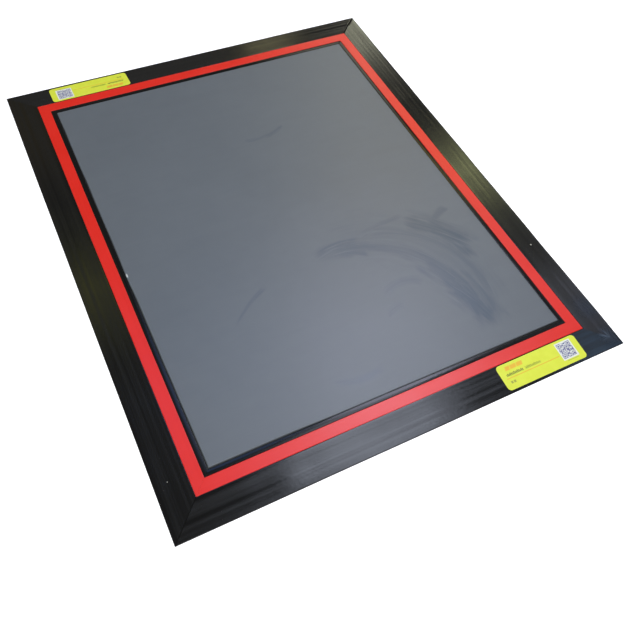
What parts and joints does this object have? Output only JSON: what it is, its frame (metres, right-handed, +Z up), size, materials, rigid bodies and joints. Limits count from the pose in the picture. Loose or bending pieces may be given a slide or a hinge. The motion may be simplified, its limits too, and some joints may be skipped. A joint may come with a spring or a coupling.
{
  "type": "framed tacky floor mat",
  "caption": "Flat rectangular floor mat: a grey tacky sheet in a low mitred black frame that ramps up from the floor, with an inlaid red strip all round.",
  "frame": {"origin": "on the floor at the middle of the mat's footprint", "axes": "+Z up from the floor, +Y along the mat's longer side towards the back, +X to the right"},
  "size_m": [0.75, 0.9, 0.005],
  "materials": {
    "black_profile": "satin extruded flexible PVC",
    "red_strip": "satin flexible PVC",
    "grey_polymer": "smooth tacky polymer with wipe marks",
    "base_rubber": "matt non-slip sheet",
    "bonding_tape": "dark grey acrylic foam tape",
    "key_plastic": "moulded plastic",
    "label_vinyl": "printed vinyl with a satin laminate"
  },
  "bodies": {
    "root": {"base_sheet": "base_rubber", "mat_adhesive_film": "bonding_tape", "tacky_mat": "grey_polymer", "front_edge_profile": "black_profile", "right_edge_profile": "black_profile", "back_edge_profile": "black_profile", "left_edge_profile": "black_profile", "front_red_strip": "red_strip", "right_red_strip": "red_strip", "back_red_strip": "red_strip", "left_red_strip": "red_strip", "front_bonding_tape": "bonding_tape", "right_bonding_tape": "bonding_tape", "back_bonding_tape": "bonding_tape", "left_bonding_tape": "bonding_tape", "front_left_corner_key": "key_plastic", "front_right_corner_key": "key_plastic", "back_right_corner_key": "key_plastic", "back_left_corner_key": "key_plastic", "front_label": "label_vinyl", "back_label": "label_vinyl"}
  },
  "joints": []
}
